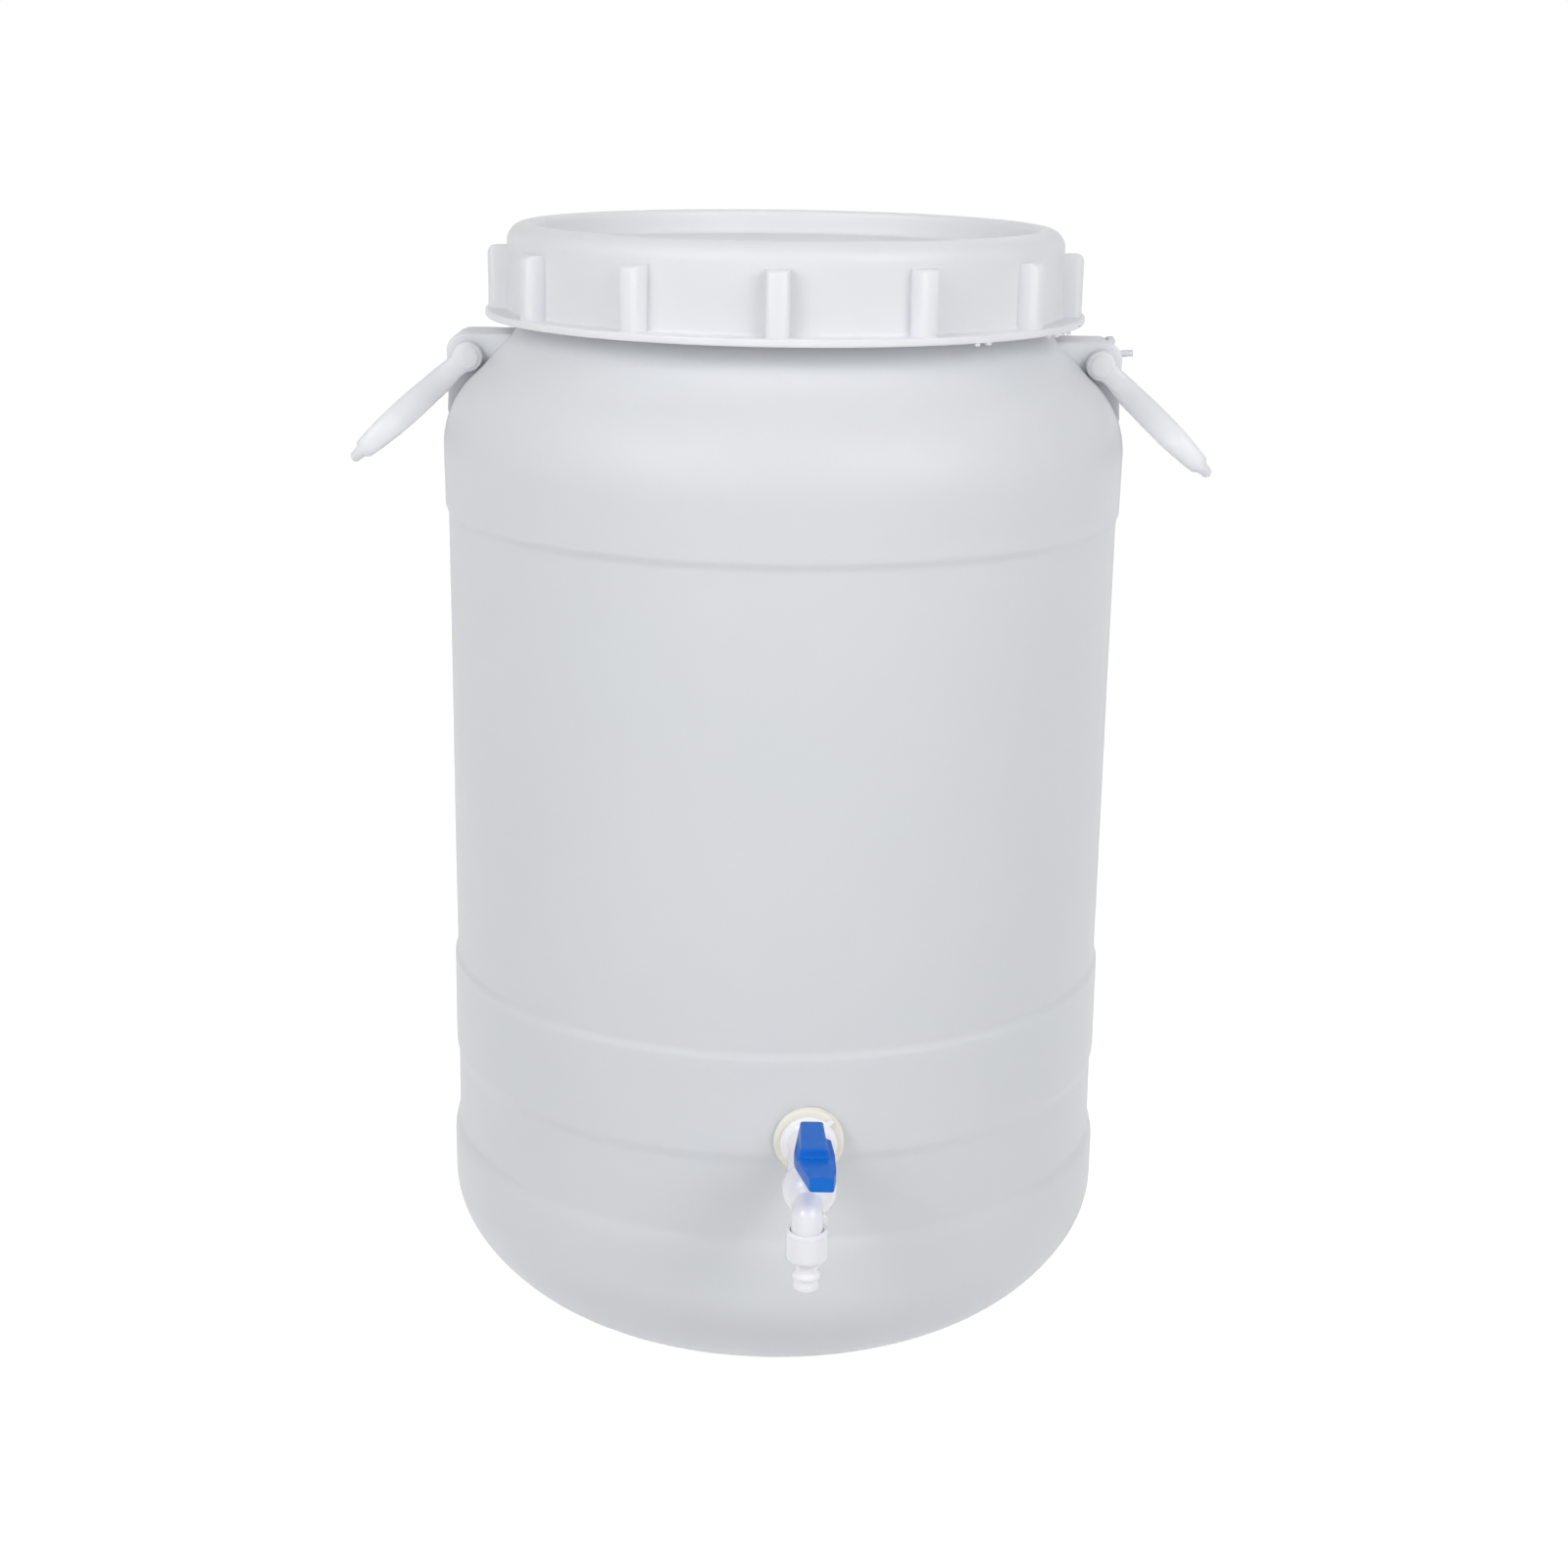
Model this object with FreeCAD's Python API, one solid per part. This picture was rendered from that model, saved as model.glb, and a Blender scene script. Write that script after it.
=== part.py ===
import FreeCAD, Part
import math
import os
from FreeCAD import Vector

# Wide-mouth storage drum in polyethylene with a screw lid, two bail handles and a small ball tap.
# Millimetres. The drum axis is Z, the floor is Z = 0 and the tap side faces -Y.

# Drum shell, blown in one piece and given here as four rings that meet face to face
HEIGHT = 500.0
WALL = 2.6
DISH_RADIUS = 62.0
DISH_RISE = 9.0
FOOT_INNER_RADIUS = 73.0
BOTTOM_RADIUS = 154.0
# The bottom corner is a wide arc up from the floor, then a tighter one up to the wall
CORNER_WIDE_ARC = 74.0
CORNER_WIDE_ANGLE = 60.0
CORNER_TIGHT_ARC = 40.0
# Outside of the wall from the bottom bulge up to the shoulder band, as radius and height
WAIST = (
    (154.0, 75.5), (153.2, 80.0), (151.8, 82.6),
    (151.4, 118.9), (152.5, 121.6),
    (152.3, 165.2), (151.0, 168.3),
    (150.8, 374.0), (152.1, 377.0),
)
SHOULDER_RADIUS = 152.4
SHOULDER_ARC = 43.5
CONE_TOP_RADIUS = 120.0
CONE_TOP = 452.6
NECK_RADIUS = 117.0
NECK_BORE = 114.2
NECK_FLARE = 3.0
NECK_TOP = 494.2
# Heights where the rings of the shell meet
FOOT_END = 84.0
WALL_END = 372.0
SHOULDER_END = 453.0

# Screw thread shared by the neck and the lid
PITCH = 12.0
THREAD_TURNS = 1.2
RIDGE_HEIGHT = 4.0
NECK_RIDGE_RADIUS = 118.7
LID_RIDGE_RADIUS = 117.5
THREAD_START = 466.5
THREAD_PLAY = 0.4

# Lid
LID_BOTTOM = 460.0
LID_RADIUS = 122.9
LID_INNER_RADIUS = 119.8
LID_CORNER = 8.0
LID_EDGE = 2.4
FLANGE_RADIUS = 132.8
FLANGE_THICK = 3.2
FLANGE_EDGE = 0.8
FLANGE_FILLET = 1.2
RECESS_RADIUS = 111.0
RECESS_DEPTH = 11.0
LID_SKIN = 3.0
LID_INNER_EDGE = 2.2
PLUG_RADIUS = 113.6
PLUG_EDGE = 2.5
RIB_COUNT = 13
RIB_FIRST = -91.2
RIB_RADIUS = 131.3
RIB_WIDTH = 9.4
RIB_TOP = 490.0
RIB_EDGE = 2.8
NOTCH_AZIMUTH = -17.0
NOTCH_DEPTH = 2.2
NOTCH_WIDTH = 7.0
NOTCH_HEIGHT = 1.2

# Ears on the shoulder and the handles that swing in them
EAR_TOP = 451.8
EAR_REACH = 149.6
EAR_HALF_WIDTH = 15.0
EAR_CORNER = 8.0
EAR_EDGE = 1.5
# Lower outline of an ear from its outer face back into the shoulder, as X and Z
EAR_WEB = ((148.9, 430.0), (149.6, 418.0), (147.0, 410.0), (112.0, 435.0))
# Flash that the mould left on the right ear: a nib on its top and a stub on its outer face
NIB_X = (143.6, 147.4)
NIB_HALF_WIDTH = 4.0
NIB_HEIGHT = 1.0
STUB_START = (147.5, -8.0, 446.0)
STUB_RADIUS = 1.5
STUB_LENGTH = 6.6
PIVOT_X = 139.7
PIVOT_Z = 442.0
PIVOT_HOLE = 4.0
PEG_RADIUS = 3.94
PEG_LENGTH = 9.0
BOSS_RADIUS = 4.9
BOSS_HEIGHT = 0.8
EYE_RADIUS = 6.5
CHEEK_LENGTH = 8.0
LEG_THICK = 9.4
LEG_INNER = 15.5
LEG_OUTER = 21.6
HANDLE_REACH = 65.5
GRIP_HALF_WIDTH = 49.0
LIP_HALF_THICK = 2.3
# Half outline of the handle and half of its finger hole, as reach from the pivot and half width
HANDLE_OUTLINE = (
    (-8.0, LEG_OUTER), (13.0, LEG_OUTER), (39.5, GRIP_HALF_WIDTH - 1.5), (45.5, GRIP_HALF_WIDTH),
    (57.0, GRIP_HALF_WIDTH), (63.0, GRIP_HALF_WIDTH - 4.0), (HANDLE_REACH + 1.0, GRIP_HALF_WIDTH - 10.0),
)
FINGER_HOLE = (
    (-9.0, LEG_INNER), (15.0, LEG_INNER), (39.5, 38.0), (44.0, 36.0), (45.5, 32.0),
)
# Lens-shaped side view of the arms, as reach and half thickness: flat start, arc to the lip's step
ARM_START = (9.0, 4.6)
ARM_MIDDLE = (33.5, 6.0)
ARM_END = (57.0, 4.3)
LIP_START = (58.6, 2.7)
LEFT_HANDLE_DROP = 41.5
RIGHT_HANDLE_DROP = 43.5

# Ball tap, its inlet axis parallel to Y
TAP_X = 15.3
TAP_Z = 129.5
SHANK_RADIUS = 9.8
SHANK_END = 126.0
TAP_HOLE = 10.2
WASHER_RADIUS = 14.9
WASHER_FACE = 155.0
TAP_FLANGE_RADIUS = 12.2
TAP_FLANGE_THICK = 2.6
TAP_NECK_RADIUS = 9.2
# Small moulded marks: a tab on the flange's rim and a lug low on the housing's right side
TAB_SIZE = (4.0, 2.2, 2.8)
TAB_REACH = 11.0
TAB_AZIMUTH = 49.0
LUG_SIZE = (3.0, 4.0, 3.6)
LUG_CORNER = (19.6, -213.5, 120.3)
NUT_FACE = 146.2
NUT_THICK = 7.5
NUT_FLATS = 29.0
BALL_AT = 201.0
HOUSING_RADIUS = 11.35
BALL_RADIUS = 6.4
CHAMBER_RADIUS = 6.9
SEAT_THICK = 3.4
SEAT_BACK = 1.2
FLOW_RADIUS = 3.8
RETAINER_LENGTH = 11.0
RETAINER_SLOT = 1.8
BONNET_RADIUS = 6.2
BONNET_TOP = 142.8
STEM_RADIUS = 3.0
STEM_BORE = 3.05
STEM_TOP = 147.5
STEM_SHOULDER = 144.0
STEM_SQUARE = 4.0
TONGUE = (2.1, 5.0, 3.0)
TONGUE_LOW = 134.2
BALL_SLOT = 2.3
BALL_SLOT_LOW = 134.1
O_RING_HEIGHTS = (138.2, 140.6)
O_RING_MIDDLE = 2.6
O_RING_SECTION = 0.4

# Spout, union nut and hose barb on a vertical axis in front of the ball
SPOUT_X = 14.4
SPOUT_Y = -217.0
ELBOW_Z = 125.5
SPOUT_RADIUS = 6.45
SPOUT_BORE = 4.2
SPOUT_END = 112.0
NUT_TOP = 120.0
NUT_BOTTOM = 107.0
NUT_RADIUS = 8.6
BARB_END = 94.0
BARB_BORE = 3.1
BARB_NECK = 4.6
BARB_BODY = 5.1
BARB_RING = 5.9
BARB_FOOT_RING = 5.35
NUT_LIP = 2.0
OUTLET_WASHER_THICK = 1.2
GASKET_WIDTH = 3.8

# Lever plan seen from above, as X and forward distance from the stem axis
LEVER_PLATE = (
    (-4.6, -15.8), (-6.6, 6.5), (-6.0, 10.8), (-0.4, 32.0), (9.3, 32.0),
    (10.3, 23.0), (9.9, 8.0), (8.6, -5.5), (6.6, -6.5), (5.8, -15.8),
)
LEVER_BLOCK_TOP = ((-4.0, -15.6), (-4.1, 12.3), (6.9, 12.3), (5.3, -15.6))
LEVER_BLOCK_BASE = ((-4.5, -15.8), (-4.9, 12.7), (7.7, 12.7), (5.8, -15.8))
PLATE_BOTTOM = 143.2
PLATE_TOP = 149.3
BLOCK_TOP = 152.9

Z_AXIS = Vector(0, 0, 1)
ORIGIN = Vector(0, 0, 0)


# Closed face in the XZ plane: each step is a line to (r, z) or an arc through (r, z) to (r, z)
def section(start, steps):
    edges = []
    here = Vector(start[0], 0, start[1])
    for step in list(steps) + [start]:
        there = Vector(step[-2], 0, step[-1])
        if here.isEqual(there, 1e-6):
            continue
        if len(step) == 4:
            edges.append(Part.Arc(here, Vector(step[0], 0, step[1]), there).toShape())
        else:
            edges.append(Part.makeLine(here, there))
        here = there
    return Part.Face(Part.Wire(edges))


def revolve(start, steps):
    return section(start, steps).revolve(ORIGIN, Z_AXIS, 360)


def ring(inner, outer, low, high):
    return revolve((inner, low), [(outer, low), (outer, high), (inner, high)])


def disc(radius, low, high):
    return revolve((0, low), [(radius, low), (radius, high), (0, high)])


# Quarter arc steps around a corner centre, between two angles in degrees
def bend(centre_r, centre_z, radius, start, end):
    middle = math.radians((start + end) / 2)
    last = math.radians(end)
    return (
        centre_r + radius * math.cos(middle), centre_z + radius * math.sin(middle),
        centre_r + radius * math.cos(last), centre_z + radius * math.sin(last),
    )


# Turns a solid built on Z so that it points along -Y on the tap axis
def on_tap(shape):
    shape.rotate(ORIGIN, Vector(1, 0, 0), 90)
    shape.translate(Vector(TAP_X, 0, TAP_Z))
    return shape


def on_spout(shape):
    shape.translate(Vector(SPOUT_X, SPOUT_Y, 0))
    return shape


def prism(points, low, high):
    corners = [Vector(x, y, low) for x, y in points]
    face = Part.Face(Part.makePolygon(corners + corners[:1]))
    return face.extrude(Vector(0, 0, high - low))


# Outline of the drum moved inwards by an inset; the inset outline is its hollow
def drum_solid(inset, neck_radius, neck_top):
    turn = math.radians(CORNER_WIDE_ANGLE)
    tighter = CORNER_WIDE_ARC - CORNER_TIGHT_ARC
    side_r = BOTTOM_RADIUS - CORNER_TIGHT_ARC
    side_z = CORNER_WIDE_ARC - tighter * math.cos(turn)
    corner_r = side_r - tighter * math.sin(turn)
    split = CORNER_WIDE_ANGLE - 90
    slope = inset * 0.4
    arc = SHOULDER_ARC - inset
    arc_r = SHOULDER_RADIUS - SHOULDER_ARC
    cone_sum = CONE_TOP_RADIUS + CONE_TOP
    arc_z = cone_sum - arc_r - SHOULDER_ARC * math.sqrt(2)
    steps = [
        (DISH_RADIUS + slope, DISH_RISE + inset),
        (FOOT_INNER_RADIUS + slope, inset),
        (corner_r, inset),
        bend(corner_r, CORNER_WIDE_ARC, CORNER_WIDE_ARC - inset, -90, split),
        bend(side_r, side_z, CORNER_TIGHT_ARC - inset, split, 0),
    ]
    steps += [(r - inset, z) for r, z in WAIST]
    steps.append((SHOULDER_RADIUS - inset, arc_z))
    steps.append(bend(arc_r, arc_z, arc, 0, 45))
    cone_inner = cone_sum - inset * math.sqrt(2)
    flare = neck_radius + NECK_FLARE
    steps.append((flare, cone_inner - flare))
    steps.append((neck_radius, cone_inner - neck_radius + 1.6 - 2 * inset / WALL))
    steps += [(neck_radius, neck_top), (0, neck_top)]
    return revolve((0, DISH_RISE + inset), steps)


# One thread ridge with sloping flanks, swept along its helix
def thread_ridge(root, crest, start):
    height = PITCH * THREAD_TURNS
    helix = Part.makeHelix(PITCH, height, root)
    half = RIDGE_HEIGHT / 2
    tip = half * 0.55
    profile = Part.makePolygon([
        Vector(root, 0, -half), Vector(crest, 0, -tip), Vector(crest, 0, tip),
        Vector(root, 0, half), Vector(root, 0, -half),
    ])
    ridge = Part.Wire(helix).makePipeShell([profile], True, True)
    ridge.translate(Vector(0, 0, start))
    return ridge


# One moulded ear on the +X side: flat top, rounded outer corner, web down to the wall
def ear():
    top_corner = (EAR_REACH - EAR_CORNER, EAR_TOP - EAR_CORNER)
    face = section((EAR_WEB[-1][0], EAR_TOP), [
        (top_corner[0], EAR_TOP),
        bend(top_corner[0], top_corner[1], EAR_CORNER, 90, 0),
        *EAR_WEB,
    ])
    face.translate(Vector(0, -EAR_HALF_WIDTH, 0))
    solid = face.extrude(Vector(0, 2 * EAR_HALF_WIDTH, 0))
    rims = [
        edge for edge in solid.Edges
        if abs(abs(edge.CenterOfMass.y) - EAR_HALF_WIDTH) < 0.01
    ]
    return solid.makeFillet(EAR_EDGE, rims)


def ear_flash():
    low = EAR_TOP - 3.0
    nib = Part.makeBox(
        NIB_X[1] - NIB_X[0], 2 * NIB_HALF_WIDTH, EAR_TOP + NIB_HEIGHT - low,
        Vector(NIB_X[0], -NIB_HALF_WIDTH, low),
    )
    stub = Part.makeCylinder(STUB_RADIUS, STUB_LENGTH, Vector(*STUB_START), Vector(1, 0, 0.08))
    return [nib, stub]


def drum_shell():
    shell = drum_solid(0.0, NECK_RADIUS, NECK_TOP)
    left_ear = ear()
    left_ear.rotate(ORIGIN, Z_AXIS, 180)
    shell = shell.fuse([ear(), left_ear] + ear_flash())
    shell = shell.fuse(thread_ridge(NECK_RADIUS - 0.3, NECK_RIDGE_RADIUS, THREAD_START))
    shell = shell.cut(drum_solid(WALL, NECK_BORE, NECK_TOP + 1))
    for side in (-1, 1):
        start = Vector(side * PIVOT_X, -EAR_HALF_WIDTH - 1, PIVOT_Z)
        shell = shell.cut(Part.makeCylinder(PIVOT_HOLE, 2 * EAR_HALF_WIDTH + 2, start, Vector(0, 1, 0)))
    return shell.cut(on_tap(disc(TAP_HOLE, SHANK_END, BALL_AT)))


def drum_ring(low, high):
    return drum_shell().common(disc(BOTTOM_RADIUS + EAR_REACH, low, high))


# Recessed panel, rounded crest, outer wall, flange, and inside them the neck channel and the plug
def plain_lid():
    floor = HEIGHT - RECESS_DEPTH
    corner_r = LID_RADIUS - LID_CORNER
    flange_top = LID_BOTTOM + FLANGE_THICK
    channel_top = HEIGHT - LID_SKIN
    return revolve((0, floor), [
        (RECESS_RADIUS - LID_EDGE, floor),
        bend(RECESS_RADIUS - LID_EDGE, floor + LID_EDGE, LID_EDGE, -90, 0),
        (RECESS_RADIUS, HEIGHT - LID_EDGE),
        bend(RECESS_RADIUS + LID_EDGE, HEIGHT - LID_EDGE, LID_EDGE, 180, 90),
        (corner_r, HEIGHT),
        bend(corner_r, HEIGHT - LID_CORNER, LID_CORNER, 90, 0),
        (LID_RADIUS, flange_top + FLANGE_FILLET),
        (LID_RADIUS + FLANGE_FILLET, flange_top),
        (FLANGE_RADIUS - FLANGE_EDGE, flange_top),
        (FLANGE_RADIUS, flange_top - FLANGE_EDGE),
        (FLANGE_RADIUS, LID_BOTTOM + FLANGE_EDGE),
        (FLANGE_RADIUS - FLANGE_EDGE, LID_BOTTOM),
        (LID_INNER_RADIUS, LID_BOTTOM),
        (LID_INNER_RADIUS, channel_top - LID_INNER_EDGE),
        bend(LID_INNER_RADIUS - LID_INNER_EDGE, channel_top - LID_INNER_EDGE, LID_INNER_EDGE, 0, 90),
        (PLUG_RADIUS, channel_top),
        (PLUG_RADIUS, floor - LID_SKIN + PLUG_EDGE),
        (PLUG_RADIUS - PLUG_EDGE, floor - LID_SKIN),
        (0, floor - LID_SKIN),
    ])


def lid_rib():
    low = LID_BOTTOM + 1.0
    bar = Part.makeBox(RIB_RADIUS - LID_RADIUS + 2, RIB_WIDTH, RIB_TOP - low)
    bar.translate(Vector(LID_RADIUS - 2, -RIB_WIDTH / 2, low))
    outer = [
        edge for edge in bar.Edges
        if abs(edge.CenterOfMass.x - RIB_RADIUS) < 0.01 and edge.CenterOfMass.z > low + 1
    ]
    return bar.makeFillet(RIB_EDGE, outer)


def screw_lid():
    lid = plain_lid()
    ribs = []
    for i in range(RIB_COUNT):
        rib = lid_rib()
        rib.rotate(ORIGIN, Z_AXIS, RIB_FIRST + i * 360.0 / RIB_COUNT)
        ribs.append(rib)
    lid = lid.fuse(ribs)
    drop = RIDGE_HEIGHT + THREAD_PLAY
    lid = lid.fuse(thread_ridge(LID_INNER_RADIUS + 0.3, LID_RIDGE_RADIUS, THREAD_START - drop))
    notch = Part.makeBox(NOTCH_DEPTH + 1, NOTCH_WIDTH, NOTCH_HEIGHT + 1)
    notch.translate(Vector(FLANGE_RADIUS - NOTCH_DEPTH, -NOTCH_WIDTH / 2, LID_BOTTOM - 1))
    notch.rotate(ORIGIN, Z_AXIS, NOTCH_AZIMUTH)
    return lid.cut(notch)


# Closed outline from its half at positive Y
def both_halves(half):
    return [(x, -y) for x, y in half] + [(x, y) for x, y in reversed(half)]


# Bail handle in its own frame: pivot at the origin, reaching along +X, thickness along Z
def flat_handle():
    root = -EYE_RADIUS - 1
    deep = 7.0
    lip_centre = HANDLE_REACH - LIP_HALF_THICK
    side_view = section((root, deep), [
        (root, -deep), (4.0, -deep), (ARM_START[0], -ARM_START[1]),
        (ARM_MIDDLE[0], -ARM_MIDDLE[1], ARM_END[0], -ARM_END[1]),
        (LIP_START[0], -LIP_START[1]), (lip_centre, -LIP_HALF_THICK),
        bend(lip_centre, 0, LIP_HALF_THICK, -90, 90),
        LIP_START, ARM_END,
        ARM_MIDDLE + ARM_START, (4.0, deep),
    ])
    side_view.translate(Vector(0, -GRIP_HALF_WIDTH - 1, 0))
    slab = side_view.extrude(Vector(0, 2 * GRIP_HALF_WIDTH + 2, 0))
    bail = slab.common(prism(both_halves(HANDLE_OUTLINE), -10, 10))
    bail = bail.cut(prism(both_halves(FINGER_HOLE), -10, 10))
    bail = bail.cut(Part.makeBox(14, 120, 20, Vector(-9, -60, -10)))
    width = LEG_OUTER - LEG_INNER
    for side in (-1, 1):
        eye = Part.makeCylinder(EYE_RADIUS, width, Vector(0, LEG_INNER, 0), Vector(0, 1, 0))
        cheek = Part.makeBox(CHEEK_LENGTH, width, LEG_THICK, Vector(0, LEG_INNER, -LEG_THICK / 2))
        boss = Part.makeCylinder(BOSS_RADIUS, BOSS_HEIGHT, Vector(0, LEG_OUTER - 0.01, 0), Vector(0, 1, 0))
        peg = Part.makeCylinder(PEG_RADIUS, PEG_LENGTH, Vector(0, LEG_INNER - PEG_LENGTH, 0), Vector(0, 1, 0))
        end = eye.fuse([cheek, boss, peg])
        if side < 0:
            end.rotate(ORIGIN, Vector(1, 0, 0), 180)
        bail = bail.fuse(end)
    return bail.removeSplitter()


def handle(side, drop):
    shape = flat_handle()
    shape.rotate(ORIGIN, Vector(0, 1, 0), drop)
    if side < 0:
        shape.rotate(ORIGIN, Z_AXIS, 180)
    shape.translate(Vector(side * PIVOT_X, 0, PIVOT_Z))
    return shape


def tap_outer_washer():
    blank = on_tap(revolve((TAP_HOLE, 140), [
        (WASHER_RADIUS, 140), (WASHER_RADIUS, WASHER_FACE - 1.2),
        bend(WASHER_RADIUS - 1.2, WASHER_FACE - 1.2, 1.2, 0, 90), (TAP_HOLE, WASHER_FACE),
    ]))
    return blank.cut(drum_solid(0.0, NECK_RADIUS, NECK_TOP))


def tap_inner_washer():
    blank = on_tap(ring(TAP_HOLE, WASHER_RADIUS, NUT_FACE, 170))
    return blank.common(drum_solid(WALL, NECK_BORE, NECK_TOP))


def tap_lock_nut():
    corner = NUT_FLATS / math.sqrt(3)
    points = [
        (corner * math.cos(math.radians(60 * i)), corner * math.sin(math.radians(60 * i)))
        for i in range(6)
    ]
    nut = prism(points, NUT_FACE - NUT_THICK, NUT_FACE)
    nut = nut.common(revolve((0, NUT_FACE - NUT_THICK), [
        (corner - 1.6, NUT_FACE - NUT_THICK), (corner, NUT_FACE - NUT_THICK + 1.2),
        (corner, NUT_FACE), (0, NUT_FACE),
    ]))
    return on_tap(nut.cut(disc(SHANK_RADIUS + 0.05, 100, 200)))


# Straight round bar between two points
def bar_between(start, end, radius):
    run = end.sub(start)
    return Part.makeCylinder(radius, run.Length, start, run)


def tap_body():
    front = WASHER_FACE + TAP_FLANGE_THICK
    edge = 0.8
    turned = on_tap(revolve((0, SHANK_END), [
        (SHANK_RADIUS - edge, SHANK_END), (SHANK_RADIUS, SHANK_END + edge), (SHANK_RADIUS, WASHER_FACE),
        (TAP_FLANGE_RADIUS, WASHER_FACE), (TAP_FLANGE_RADIUS, front - edge),
        bend(TAP_FLANGE_RADIUS - edge, front - edge, edge, 0, 90),
        (TAP_NECK_RADIUS + edge, front), (TAP_NECK_RADIUS, front + edge),
        (TAP_NECK_RADIUS, BALL_AT), (0, BALL_AT),
    ]))
    centre = Vector(TAP_X, -BALL_AT, TAP_Z)
    corner = Vector(SPOUT_X, SPOUT_Y, ELBOW_Z)
    foot = Vector(SPOUT_X, SPOUT_Y, SPOUT_END)
    housing = Part.makeSphere(HOUSING_RADIUS, centre)
    bonnet = Part.makeCylinder(BONNET_RADIUS, BONNET_TOP - TAP_Z, centre, Z_AXIS)
    tab = Part.makeBox(*TAB_SIZE, Vector(TAB_REACH, -TAB_SIZE[1] / 2, WASHER_FACE))
    tab.rotate(ORIGIN, Z_AXIS, TAB_AZIMUTH)
    lug = Part.makeBox(*LUG_SIZE, Vector(*LUG_CORNER))
    outside = turned.fuse([
        housing, bonnet, bar_between(centre, corner, SPOUT_RADIUS), Part.makeSphere(SPOUT_RADIUS, corner),
        bar_between(corner, foot, SPOUT_RADIUS), on_tap(tab), lug,
    ])
    chamber = on_tap(disc(CHAMBER_RADIUS, SHANK_END - 1, BALL_AT + BALL_RADIUS + SEAT_BACK))
    stem_hole = Part.makeCylinder(STEM_BORE, 30, centre, Z_AXIS)
    flow = [
        bar_between(centre, corner, SPOUT_BORE), Part.makeSphere(SPOUT_BORE, corner),
        Part.makeCylinder(SPOUT_BORE, 40, corner, Vector(0, 0, -1)),
    ]
    return outside.cut([chamber, stem_hole] + flow)


def valve_retainer():
    front = BALL_AT - BALL_RADIUS - SEAT_BACK
    back = front - RETAINER_LENGTH
    tube = ring(FLOW_RADIUS + 0.4, CHAMBER_RADIUS - 0.02, back, front)
    slot = Part.makeBox(20, RETAINER_SLOT, 3.0, Vector(-10, -RETAINER_SLOT / 2, back - 1))
    return on_tap(tube.cut(slot))


# Seat rings hug the ball in front of it and behind it
def valve_seat(direction):
    face = BALL_AT + direction * (BALL_RADIUS + SEAT_BACK)
    low, high = sorted((face, face - direction * SEAT_THICK))
    blank = ring(FLOW_RADIUS, CHAMBER_RADIUS - 0.02, low, high)
    return on_tap(blank.cut(Part.makeSphere(BALL_RADIUS + 0.03, Vector(0, 0, BALL_AT))))


def valve_ball():
    centre = Vector(TAP_X, -BALL_AT, TAP_Z)
    ball = Part.makeSphere(BALL_RADIUS, centre)
    ball = ball.cut(on_tap(disc(FLOW_RADIUS, BALL_AT - 10, BALL_AT + 10)))
    slot = Part.makeBox(BALL_SLOT, 20, 3, Vector(TAP_X - BALL_SLOT / 2, -BALL_AT - 10, BALL_SLOT_LOW))
    return ball.cut(slot)


# Round stem with a tongue in the ball's slot and a square head in the lever's socket
def valve_stem():
    foot = TAP_Z + BALL_RADIUS + 0.1
    stem = Part.makeCylinder(STEM_RADIUS, STEM_SHOULDER - foot, Vector(0, 0, foot))
    tongue = Part.makeBox(*TONGUE, Vector(-TONGUE[0] / 2, -TONGUE[1] / 2, TONGUE_LOW))
    half = STEM_SQUARE / 2
    head_low = STEM_SHOULDER - 0.5
    head = Part.makeBox(STEM_SQUARE, STEM_SQUARE, STEM_TOP - head_low, Vector(-half, -half, head_low))
    stem = stem.fuse([tongue, head])
    groove = O_RING_MIDDLE - O_RING_SECTION
    for height in O_RING_HEIGHTS:
        stem = stem.cut(ring(groove, STEM_RADIUS + 1, height - 0.5, height + 0.5))
    stem.translate(Vector(TAP_X, -BALL_AT, 0))
    return stem


def stem_o_ring(height):
    return Part.makeTorus(O_RING_MIDDLE, O_RING_SECTION, Vector(TAP_X, -BALL_AT, height), Z_AXIS)


# Blue lever: a tapering plate with a raised block over the stem
def lever():
    plate = prism([(x, -u) for x, u in LEVER_PLATE], PLATE_BOTTOM, PLATE_TOP)
    upright = [
        edge for edge in plate.Edges
        if edge.Vertexes[0].Point[:2] == edge.Vertexes[-1].Point[:2]
    ]
    plate = plate.makeFillet(0.8, upright)
    rims = []
    for corners, height in ((LEVER_BLOCK_BASE, PLATE_TOP - 0.2), (LEVER_BLOCK_TOP, BLOCK_TOP)):
        rims.append(Part.makePolygon([Vector(x, -u, height) for x, u in corners + corners[:1]]))
    block = Part.makeLoft(rims, True)
    block = block.makeFillet(0.7, [e for e in block.Edges if e.CenterOfMass.z > PLATE_TOP + 0.5])
    shape = plate.fuse(block)
    across = STEM_SQUARE + 0.1
    socket = Part.makeBox(across, across, 5.0, Vector(-across / 2, -across / 2, PLATE_BOTTOM - 0.4))
    relief = Part.makeCylinder(STEM_RADIUS + 0.2, 1.0, Vector(0, 0, PLATE_BOTTOM - 0.1), Z_AXIS)
    shape = shape.cut([socket, relief])
    shape.translate(Vector(TAP_X, -BALL_AT, 0))
    return shape


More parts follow.
